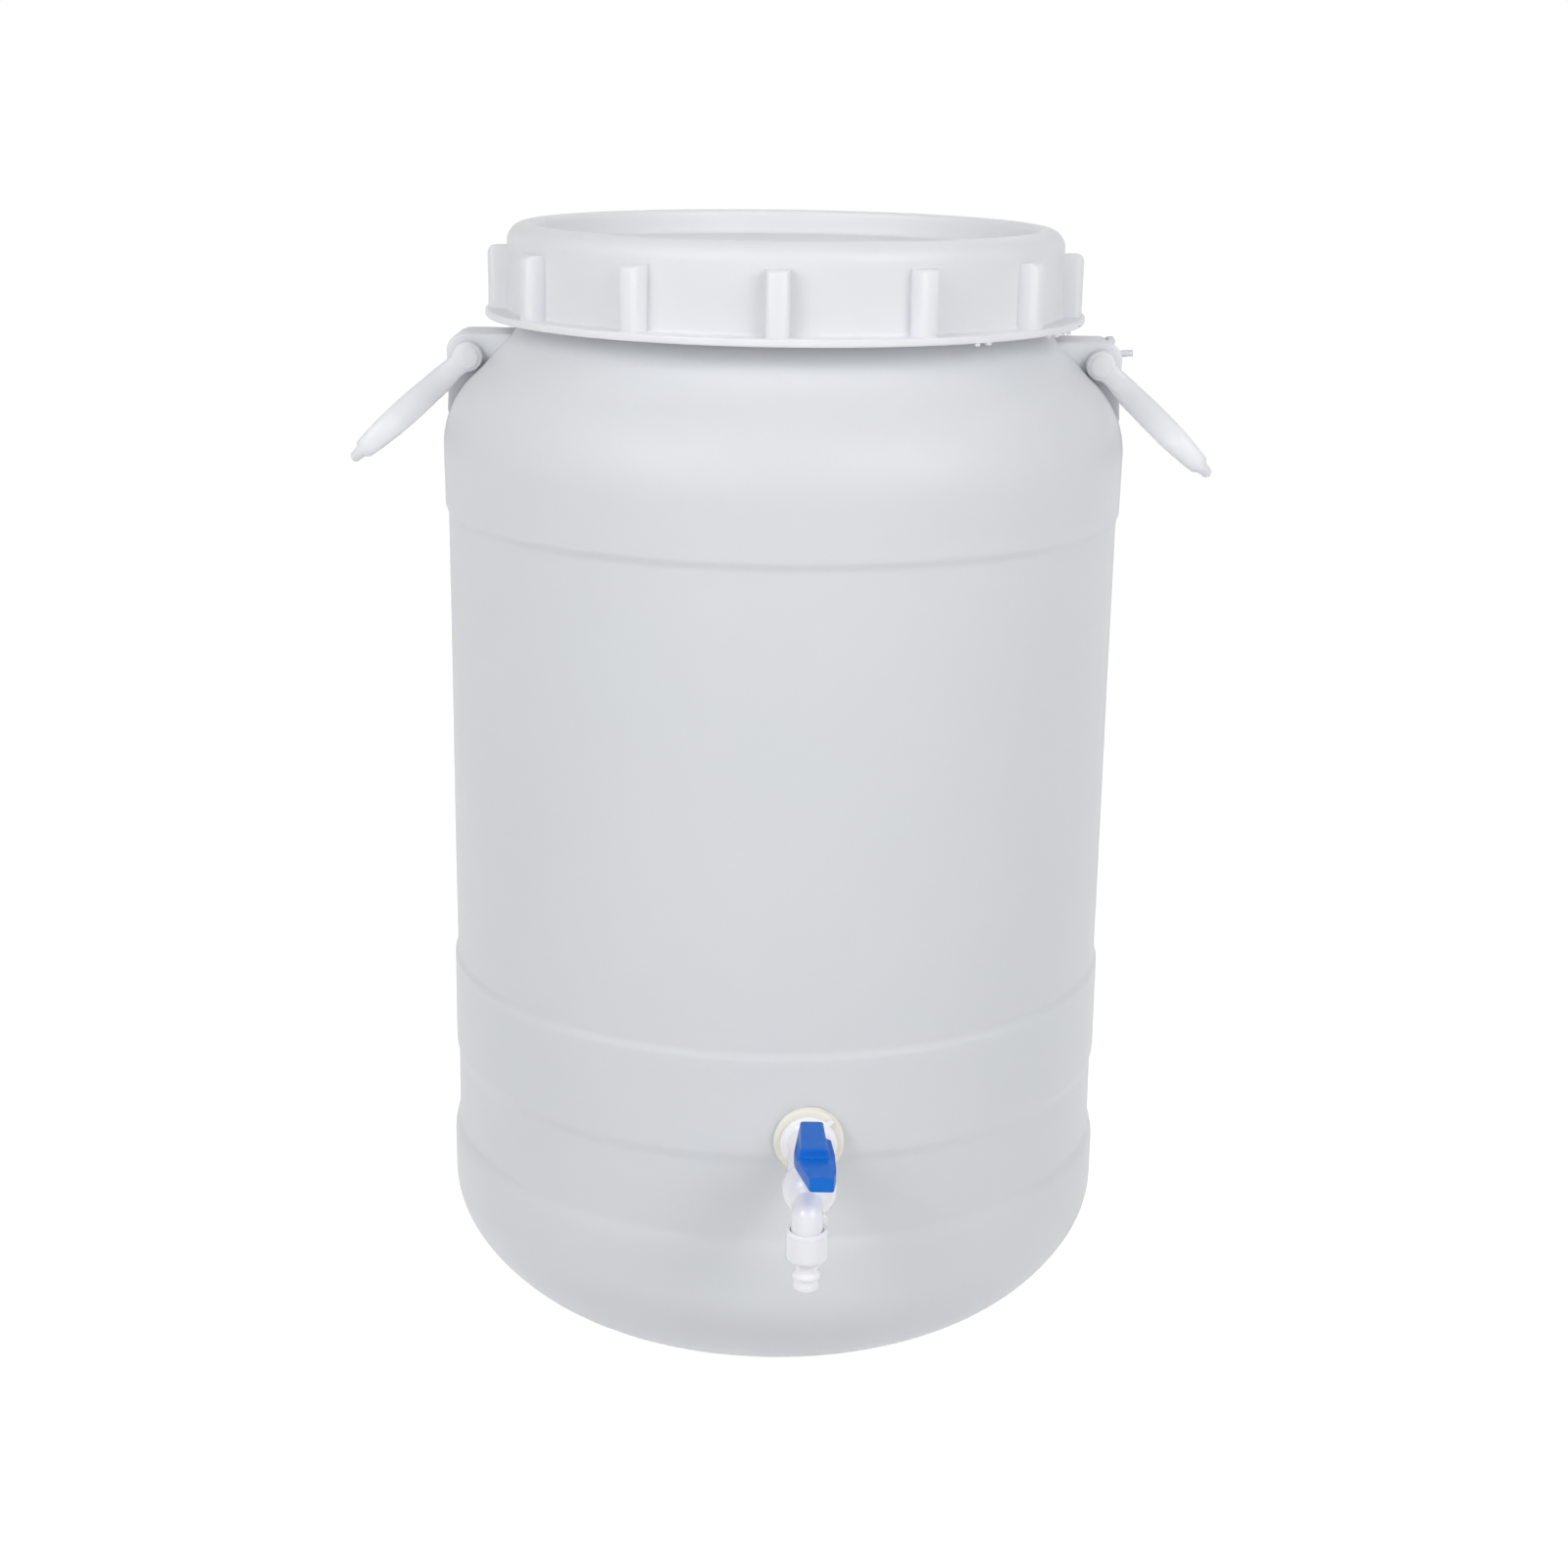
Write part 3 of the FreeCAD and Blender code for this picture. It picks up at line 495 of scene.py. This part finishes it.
# Radius and height line of the drum from the bottom's middle to the neck, moved inwards by an inset
def drumLine(d, inset, neck):
    fine = 1.0 if inset == 0 else 0.5
    steps = d["steps"]
    turn = math.radians(d["wideAngle"])
    sideR = d["bottomRadius"] - d["tightArc"]
    sideZ = d["wideArc"] - (d["wideArc"] - d["tightArc"]) * math.cos(turn)
    cornerR = sideR - (d["wideArc"] - d["tightArc"]) * math.sin(turn)
    shoulderR = d["shoulderRadius"] - d["shoulderArc"]
    shoulderZ = d["coneSum"] - shoulderR - d["shoulderArc"] * math.sqrt(2)
    turnEnd = d["wideAngle"] - 90
    lean = inset * d["dishLean"]
    dishEdge = (d["dishRadius"] + lean - d["dishLip"], d["dishRise"] + inset)
    line = run((0, d["dishRise"] + inset), dishEdge)
    line += softStep(dishEdge, (d["footInner"] + lean, inset), steps["dish"])
    line += run((d["footInner"] + lean + d["footFlat"], inset), (cornerR, inset))
    wide, tight = round(steps["wide"] * fine), round(steps["tight"] * fine)
    line += arc(cornerR, d["wideArc"], d["wideArc"] - inset, -90, turnEnd, wide)
    line += arc(sideR, sideZ, d["tightArc"] - inset, turnEnd, 0, tight)
    line += [(r - inset, z) for r, z in d["waistLow"]]
    here = (d["waistLow"][-1][0] - inset, d["waistLow"][-1][1])
    for band in ("tapBand", "lowBand", "highBand"):
        low, high = [(r - inset, z) for r, z in d[band]]
        line += run(here, low) + softStep(low, high, round(steps["band"] * fine))
        here = high
    line += run(here, (d["shoulderRadius"] - inset, shoulderZ))
    count = round(steps["shoulder"] * fine)
    line += arc(shoulderR, shoulderZ, d["shoulderArc"] - inset, 0, 45, count)
    coneSum = d["coneSum"] - inset * math.sqrt(2)
    flare = neck + d["neckFlare"]
    line += run(line[-1], (flare, coneSum - flare))
    turnR = d["neckFlare"] / (1 - math.cos(math.radians(45)))
    turnZ = coneSum - flare + turnR * math.sin(math.radians(45))
    line += arc(neck + turnR, turnZ, turnR, 225, 180, steps["flare"])
    return line


# Slow unevenness of a blown wall
def wobble(bm, d):
    for v in bm.verts:
        flat = Vector((v.co.x, v.co.y, 0.0))
        if flat.length > d["wobbleFrom"] * mm:
            shift = noise.noise(v.co * d["wobbleScale"]) - 0.5
            v.co += flat.normalized() * shift * d["wobble"] * mm


# Several small solids in one mesh, to be joined on or cut away together
def gathered(name, *shapes):
    bm = bmesh.new()
    for shape in shapes:
        mesh = bpy.data.meshes.new("part")
        shape.to_mesh(mesh)
        shape.free()
        bm.from_mesh(mesh)
        bpy.data.meshes.remove(mesh)
    return objectFrom(name, bm)


def makeEar(e, side):
    corner = (e["reach"] - e["corner"], e["top"] - e["corner"])
    line = [(e["root"], e["top"])] + arc(corner[0], corner[1], e["corner"], 90, 0, 8)
    line += list(e["web"])
    points = [(side * x * mm, -e["halfWidth"] * mm, z * mm) for x, z in line]
    bm = pushed(points, (0, 2 * e["halfWidth"] * mm, 0))
    rims = [
        edge for edge in bm.edges
        if abs(abs(edge.verts[0].co.y) - e["halfWidth"] * mm) < 1e-6
        and abs(edge.verts[0].co.y - edge.verts[1].co.y) < 1e-6
    ]
    roundEdges(bm, rims, e["edge"])
    return bm


ear = {
    "top": 451.8, "reach": 149.6, "halfWidth": 15.0, "corner": 8.0, "edge": 1.5, "root": 112.0,
    "web": ((148.9, 430.0), (149.6, 418.0), (147.0, 410.0), (112.0, 435.0)),
    "pivotX": 139.7, "pivotZ": 442.0, "hole": 4.0, "holePast": 2.0,
    "nibMiddle": (145.5, 0.0, 451.0), "nibSize": (3.8, 8.0, 3.6),
    "stubStart": (146.5, -8.0, 446.0), "stubLength": 8.2, "stubRadius": 1.5,
    "stubLean": (1.0, 0.0, 0.08),
}


def roundBar(radius, start, end, segments):
    bm = bmesh.new()
    axis = Vector(end) - Vector(start)
    turn = axis.to_track_quat("Z", "Y").to_matrix().to_4x4()
    place = Matrix.Translation((Vector(start) + Vector(end)) / 2 * mm) @ turn
    bmesh.ops.create_cone(
        bm, cap_ends=True, segments=segments, radius1=radius * mm, radius2=radius * mm,
        depth=axis.length * mm, matrix=place,
    )
    return bm


# Scrap of flash: a small lump with rounded edges
def lump(middle, size, turn=0.0):
    bm = bmesh.new()
    place = Matrix.Translation(Vector(middle) * mm) @ Matrix.Rotation(turn, 4, "Z")
    place = place @ Matrix.Diagonal((size[0] * mm, size[1] * mm, size[2] * mm, 1))
    bmesh.ops.create_cube(bm, size=1.0, matrix=place)
    roundEdges(bm, bm.edges[:], min(size) * 0.3, 3)
    return bm


# The right ear with the flash on it: a nib on top and a stub on its outer face
def flashedEar(e):
    piece = objectFrom("rightEar", makeEar(e, 1))
    stubEnd = Vector(e["stubStart"]) + Vector(e["stubLean"]) * e["stubLength"]
    stub = roundBar(e["stubRadius"], e["stubStart"], stubEnd, 16)
    combine(piece, gathered("flash", lump(e["nibMiddle"], e["nibSize"]), stub), "UNION")
    bm = bmesh.new()
    bm.from_mesh(piece.data)
    bpy.data.objects.remove(piece)
    return bm


def makeDrum(d, e, t, hole):
    lip = d["mouthEdge"]
    neck = d["neckRadius"]
    line = drumLine(d, 0.0, neck)
    line += run(line[-1], (neck, d["neckTop"] - lip), step=8.0)
    line += arc(neck - lip, d["neckTop"] - lip, lip, 0, 90, 4) + [(0, d["neckTop"])]
    bm = turned(line, d["segments"])
    wobble(bm, d)
    shell = objectFrom("drumShell", bm)
    root = neck - d["ridgeBury"]
    ridge = threadRidge(root, d["neckRidge"], t["ridge"], t["pitch"], t["turns"], t["start"])
    combine(shell, gathered("ears", makeEar(e, -1), flashedEar(e), ridge), "UNION")
    # the hollow follows the outside at the wall's thickness and leaves by the neck
    line = drumLine(d, d["wall"], d["neckBore"])
    line += run(line[-1], (d["neckBore"], d["neckTop"] - lip), step=12.0)
    above, past = [d["neckTop"] + rise for rise in d["mouthCut"]]
    line += [(d["neckBore"] + lip, above), (d["neckBore"] + lip, past), (0, past)]
    hollow = turned(line, d["segments"])
    wobble(hollow, d)
    combine(shell, objectFrom("hollow", hollow), "DIFFERENCE")
    start, end = [(hole["x"], y, hole["z"]) for y in hole["reach"]]
    holes = [roundBar(hole["radius"], start, end, 64)]
    for side in (-1, 1):
        middle = Vector((side * e["pivotX"], 0, e["pivotZ"]))
        reach = Vector((0, e["halfWidth"] + e["holePast"], 0))
        holes.append(roundBar(e["hole"], middle - reach, middle + reach, 48))
    combine(shell, gathered("holes", *holes), "DIFFERENCE")
    rings = [name for name in nodes if name.startswith("drum_")]
    return finishPiece(shell, "milkyBody", "milky_body", "drum", *rings)


tap = {
    "hole": {"x": 15.3, "z": 129.5, "radius": 10.2, "reach": (-120.0, -170.0)},
    # pieces that get softened edges: object name, finish, slot, body, voxel and smoothing rounds
    "soft": {
        "tap_body": ("tapCasting", "whiteTap", "white_tap", "drum", 0.40, 8),
        "tap_lever": ("lever", "blueLever", "blue_lever", "tap_key", 0.28, 36),
        "outlet_nut": ("unionNut", "whiteTap", "white_tap", "drum", 0.24, 12),
        "hose_barb": ("hoseTail", "whiteTap", "white_tap", "drum", 0.20, 10),
    },
}

drumShell = makeDrum(drum, ear, thread, tap["hole"])
print("drum made,", len(drumShell.data.polygons), "faces")


lid = {
    "segments": 256,
    "bottom": 460.0, "top": 500.0, "radius": 122.9, "inner": 119.8, "corner": 8.0, "edge": 2.4,
    "flangeRadius": 132.8, "flangeThick": 3.2, "flangeEdge": 0.8, "flangeFillet": 1.2,
    "recessRadius": 111.0, "recessDepth": 11.0, "skin": 3.0, "innerEdge": 2.2,
    "plugRadius": 113.6, "plugEdge": 2.5, "ridgeRadius": 117.5, "ridgeBury": 0.4,
    "ribs": 13, "ribFirst": -91.2, "ribRadius": 131.3, "ribWidth": 9.4, "ribEdge": 3.4,
    "ribTop": 490.0, "ribLift": 0.9, "ribBury": 1.4,
    "notchAzimuth": -17.0, "notchDepth": 2.2, "notchWidth": 7.0, "notchHeight": 1.2,
    # flash on the flange's lower edge: azimuth, then length, width and height of each crumb
    "crumbs": (
        (-53.6, 2.2, 1.6, 1.5), (-50.9, 2.6, 1.8, 1.3), (-33.2, 1.8, 1.4, 1.1),
        (-29.8, 2.4, 1.5, 1.6), (-26.4, 1.5, 1.6, 1.2), (-23.6, 2.8, 1.4, 1.7),
    ),
    "crumbBury": 0.55, "crumbDrop": 0.22,       # as shares of a crumb's width and height
}


# Radius and height line of the lid: panel, rim, skirt and flange, then back up the inside
def lidLine(l):
    panel = l["top"] - l["recessDepth"]
    flangeTop = l["bottom"] + l["flangeThick"]
    channel = l["top"] - l["skin"]
    edge = l["edge"]
    cornerR = l["radius"] - l["corner"]
    small = l["flangeEdge"]
    fillet = l["flangeFillet"]
    flangeR = l["flangeRadius"] - small
    line = run((0, panel), (l["recessRadius"] - edge, panel))
    line += arc(l["recessRadius"] - edge, panel + edge, edge, -90, 0, 6)
    line += run((l["recessRadius"], panel + edge), (l["recessRadius"], l["top"] - edge))
    line += arc(l["recessRadius"] + edge, l["top"] - edge, edge, 180, 90, 8)
    line += run((l["recessRadius"] + edge, l["top"]), (cornerR, l["top"]), near=0.3)
    line += arc(cornerR, l["top"] - l["corner"], l["corner"], 90, 0, 14)
    line += run((l["radius"], l["top"] - l["corner"]), (l["radius"], flangeTop + fillet), step=8.0)
    line += arc(l["radius"] + fillet, flangeTop + fillet, fillet, 180, 270, 4)
    line += run((l["radius"] + fillet, flangeTop), (flangeR, flangeTop), near=0.5)
    line += arc(flangeR, flangeTop - small, small, 90, 0, 4)
    line += arc(flangeR, l["bottom"] + small, small, 0, -90, 4)
    line += run((flangeR, l["bottom"]), (l["inner"], l["bottom"]), near=0.5)
    line += run((l["inner"], l["bottom"]), (l["inner"], channel - l["innerEdge"]), near=0.5)
    line += arc(l["inner"] - l["innerEdge"], channel - l["innerEdge"], l["innerEdge"], 0, 90, 4)
    line += [(l["plugRadius"], channel), (l["plugRadius"], panel - l["skin"] + l["plugEdge"])]
    line += [(l["plugRadius"] - l["plugEdge"], panel - l["skin"])]
    line += run((l["plugRadius"] - l["plugEdge"], panel - l["skin"]), (0, panel - l["skin"]))
    return line


def lidRibs(l):
    bm = bmesh.new()
    low = l["bottom"] + l["ribLift"]
    depth = l["ribRadius"] - l["radius"] + l["ribBury"]
    size = Matrix.Diagonal((depth * mm, l["ribWidth"] * mm, (l["ribTop"] - low) * mm, 1))
    middle = ((l["ribRadius"] - depth / 2) * mm, 0, (l["ribTop"] + low) / 2 * mm)
    bmesh.ops.create_cube(bm, size=1.0, matrix=Matrix.Translation(middle) @ size)
    # the outer edges, apart from the one that stands on the flange
    outer = [
        edge for edge in bm.edges
        if all(v.co.x > (l["ribRadius"] - 0.1) * mm for v in edge.verts)
        and max(v.co.z for v in edge.verts) > (low + 1) * mm
    ]
    roundEdges(bm, outer, l["ribEdge"], 5)
    first = bm.verts[:] + bm.edges[:] + bm.faces[:]
    for i in range(1, l["ribs"]):
        copied = bmesh.ops.duplicate(bm, geom=first)
        verts = [g for g in copied["geom"] if isinstance(g, bmesh.types.BMVert)]
        turn = Matrix.Rotation(2 * math.pi * i / l["ribs"], 3, "Z")
        bmesh.ops.rotate(bm, verts=verts, cent=(0, 0, 0), matrix=turn)
    turn = Matrix.Rotation(math.radians(l["ribFirst"]), 3, "Z")
    bmesh.ops.rotate(bm, verts=bm.verts, cent=(0, 0, 0), matrix=turn)
    return bm


def onRim(radius, azimuth, height):
    angle = math.radians(azimuth)
    return (radius * math.cos(angle), radius * math.sin(angle), height)


def makeLid(l, t):
    piece = objectFrom("lidMoulding", turned(lidLine(l), l["segments"]))
    start = t["start"] - (t["ridge"] + t["play"])
    root = l["inner"] + l["ridgeBury"]
    ridge = threadRidge(root, l["ridgeRadius"], t["ridge"], t["pitch"], t["turns"], start)
    crumbs = []
    for azimuth, length, width, height in l["crumbs"]:
        away = l["flangeRadius"] - width * l["crumbBury"]
        middle = onRim(away, azimuth, l["bottom"] - height * l["crumbDrop"])
        crumbs.append(lump(middle, (width, length, height), math.radians(azimuth)))
    combine(piece, gathered("ribs", lidRibs(l), ridge, *crumbs), "UNION")
    # the cutter stands 1 mm out past the flange
    away = l["flangeRadius"] + 0.5 - l["notchDepth"] / 2
    notch = lump(
        onRim(away, l["notchAzimuth"], l["bottom"]),
        (l["notchDepth"] + 1, l["notchWidth"], 2 * l["notchHeight"]),
        math.radians(l["notchAzimuth"]),
    )
    combine(piece, objectFrom("notch", notch), "DIFFERENCE")
    return finishPiece(piece, "whiteLid", "white_lid", "lid", "screw_lid")


lidMoulding = makeLid(lid, thread)
print("lid made,", len(lidMoulding.data.polygons), "faces")


# Copy of a node with its edges and inner corners softened, as a casting has them
def softCopy(name, node, voxel, rounds):
    bm = bmesh.new()
    bm.from_mesh(nodes[node].data)
    bmesh.ops.remove_doubles(bm, verts=bm.verts, dist=1e-6)
    obj = objectFrom(name, bm)
    skin = obj.modifiers.new("skin", "REMESH")
    skin.mode = "VOXEL"
    skin.voxel_size = voxel * mm
    soften = obj.modifiers.new("soften", "SMOOTH")
    soften.factor = 0.5
    soften.iterations = rounds
    bakeModifiers(obj)
    return obj


# Bail handle in its own frame: the pivot at the origin, reaching along X, thickness along Z
handle = {
    "pivot": (139.7, 442.0), "drops": {"left": 41.5, "right": 43.5},
    # control points of the outer and the inner edge, as reach and distance from the middle
    "outer": ((0, 21.6), (13, 21.6), (27, 35), (39.5, 47.3), (46.5, 49.2), (58, 49.0), (65.5, 42.5),
              (65.5, 30), (65.5, 0)),
    "inner": ((0, 15.5), (15, 15.5), (27, 26.8), (37.5, 36.4), (42, 38.2), (45.3, 34), (45.5, 28),
              (45.5, 22), (45.5, 0)),
    "eye": 6.5, "neck": (9.0, 4.6), "middle": (33.5, 6.0), "end": (57.0, 4.3),
    "step": (56.7, 58.9), "lip": (2.7, 2.35),
    # edge rounding at the eye, along the arm and on the lip
    "rounding": ((0, 1.1), (9, 1.6), (22, 3.6), (46, 4.2), (57, 3.2), (65.5, 2.35)),
    "boss": (4.9, 0.8), "peg": (3.94, 9.0), "bury": 2.0, "endEdge": 0.35,
    "eyeStep": 9, "edgeTurns": (0, 14, 28, 42, 56, 72, 90), "across": 26,
}


# Rounds a line of control points by cutting its corners
def cornersCut(points, rounds=3):
    for _ in range(rounds):
        cut = [points[0]]
        for a, b in zip(points, points[1:]):
            cut.append((a[0] * 0.75 + b[0] * 0.25, a[1] * 0.75 + b[1] * 0.25))
            cut.append((a[0] * 0.25 + b[0] * 0.75, a[1] * 0.25 + b[1] * 0.75))
        points = cut + [points[-1]]
    return points


# Value at x from a table of pairs
def alongTable(table, x):
    for (x0, y0), (x1, y1) in zip(table, table[1:]):
        if x <= x1:
            return y0 + (y1 - y0) * max(0.0, (x - x0) / (x1 - x0))
    return table[-1][1]


# Half thickness of the handle's side view: round eye, lens-shaped arm, step, thin lip
def handleThickness(h, reach):
    (x0, y0), (x1, y1), (x2, y2) = h["neck"], h["middle"], h["end"]
    at = max(reach, x0)
    arm = (
        y0 * (at - x1) * (at - x2) / ((x0 - x1) * (x0 - x2))
        + y1 * (at - x0) * (at - x2) / ((x1 - x0) * (x1 - x2))
        + y2 * (at - x0) * (at - x1) / ((x2 - x0) * (x2 - x1))
    )
    if reach < h["eye"]:
        eye = math.sqrt(max(0.0, h["eye"] ** 2 - reach ** 2))
        arm = eye if reach < 0 else max(eye, y0)
    low, high = h["step"]
    t = min(1.0, max(0.0, (reach - low) / (high - low)))
    ease = t * t * (3 - 2 * t)
    end = h["outer"][-1][0]
    lip = h["lip"][0] + (h["lip"][1] - h["lip"][0]) * max(0.0, (reach - high) / (end - high))
    return arm * (1 - ease) + lip * ease


def makeHandle(h, side):
    eyeRows = [-h["eye"] * math.cos(math.radians(a)) for a in range(0, 90, h["eyeStep"])]
    outer = [(x, h["outer"][0][1]) for x in eyeRows] + cornersCut(list(h["outer"]))
    inner = [(x, h["inner"][0][1]) for x in eyeRows] + cornersCut(list(h["inner"]))
    pairs = list(zip(outer, inner))
    pairs += [((o[0], -o[1]), (i[0], -i[1])) for o, i in reversed(pairs[:-1])]
    bm = bmesh.new()
    grid = []
    for o, i in pairs:
        width = math.dist(o, i)
        rounding = min(alongTable(h["rounding"], o[0]), width * 0.49)   # less than half the width
        depths = [rounding * (1 - math.cos(math.radians(a))) for a in h["edgeTurns"]]
        flat = width - 2 * rounding
        inside = [rounding + flat * k / h["across"] for k in range(1, h["across"])]
        row = []
        for depth in depths + inside + [width - d for d in reversed(depths)]:
            t = depth / width
            x, y = o[0] + (i[0] - o[0]) * t, o[1] + (i[1] - o[1]) * t
            edge = min(1.0, min(depth, width - depth) / rounding)
            z = handleThickness(h, x) * math.sqrt(max(0.0, 1 - (1 - edge) ** 2))
            row.append([bm.verts.new((x * mm, y * mm, s * z * mm)) for s in (1, -1)])
        grid.append(row)
    for first, second in zip(grid, grid[1:]):
        for j in range(len(first) - 1):
            for s in (0, 1):
                bm.faces.new((first[j][s], first[j + 1][s], second[j + 1][s], second[j][s]))
    bmesh.ops.remove_doubles(bm, verts=bm.verts, dist=1e-5)
    bmesh.ops.dissolve_degenerate(bm, edges=bm.edges, dist=1e-6)
    bmesh.ops.recalc_face_normals(bm, faces=bm.faces)
    piece = objectFrom(side + "Bail", bm)
    # a low boss outside each eye and the peg inside it
    out, near = h["outer"][0][1], h["inner"][0][1]
    spans = (
        (h["boss"][0], out - h["bury"], out + h["boss"][1]),
        (h["peg"][0], near + h["bury"], near - h["peg"][1]),
    )
    ends = [roundBar(r, (0, s * a, 0), (0, s * b, 0), 40) for s in (-1, 1) for r, a, b in spans]
    for end in ends:
        rims = [edge for edge in end.edges if abs(edge.verts[0].co.y - edge.verts[1].co.y) < 1e-6]
        roundEdges(end, rims, h["endEdge"], 2)
    combine(piece, gathered("ends", *ends), "UNION")
    turn = Matrix.Rotation(math.radians(h["drops"][side]), 4, "Y")
    place = Matrix.Translation((h["pivot"][0] * mm, 0, h["pivot"][1] * mm)) @ turn
    if side == "left":
        place = Matrix.Rotation(math.pi, 4, "Z") @ place
    piece.data.transform(place)
    body, node = side + "_bail", side + "_handle"
    return finishPiece(piece, "milkyHandle", "milky_handle", body, node, sharpAngle=70.0)


for side in ("left", "right"):
    bail = makeHandle(handle, side)
    print(side, "handle made,", len(bail.data.polygons), "faces")

for node, (name, finish, slot, body, voxel, rounds) in tap["soft"].items():
    piece = softCopy(name, node, voxel, rounds)
    finishPiece(piece, finish, slot, body, node, sharpAngle=80.0)
    print(name, "made,", len(piece.data.polygons), "faces")


# Pieces whose solid already has its final form get their finish only
plainNodes = {
    "lid_gasket": "sealFoam",
    "tap_outer_washer": "creamRubber",
    "tap_inner_washer": "creamRubber",
    "tap_lock_nut": "whiteTap",
    "valve_retainer": "whiteTap",
    "valve_seat_rear": "seatPlastic",
    "valve_seat_front": "seatPlastic",
    "valve_ball": "whiteTap",
    "valve_stem": "whiteTap",
    "stem_o_ring_lower": "blackRubber",
    "stem_o_ring_upper": "blackRubber",
    "outlet_washer": "blackRubber",
}
for nodeName, finish in plainNodes.items():
    slots = nodes[nodeName].material_slots
    if not slots:
        nodes[nodeName].data.materials.append(materials[finish])
    for s in slots:
        s.material = materials[finish]
print("small pieces finished")
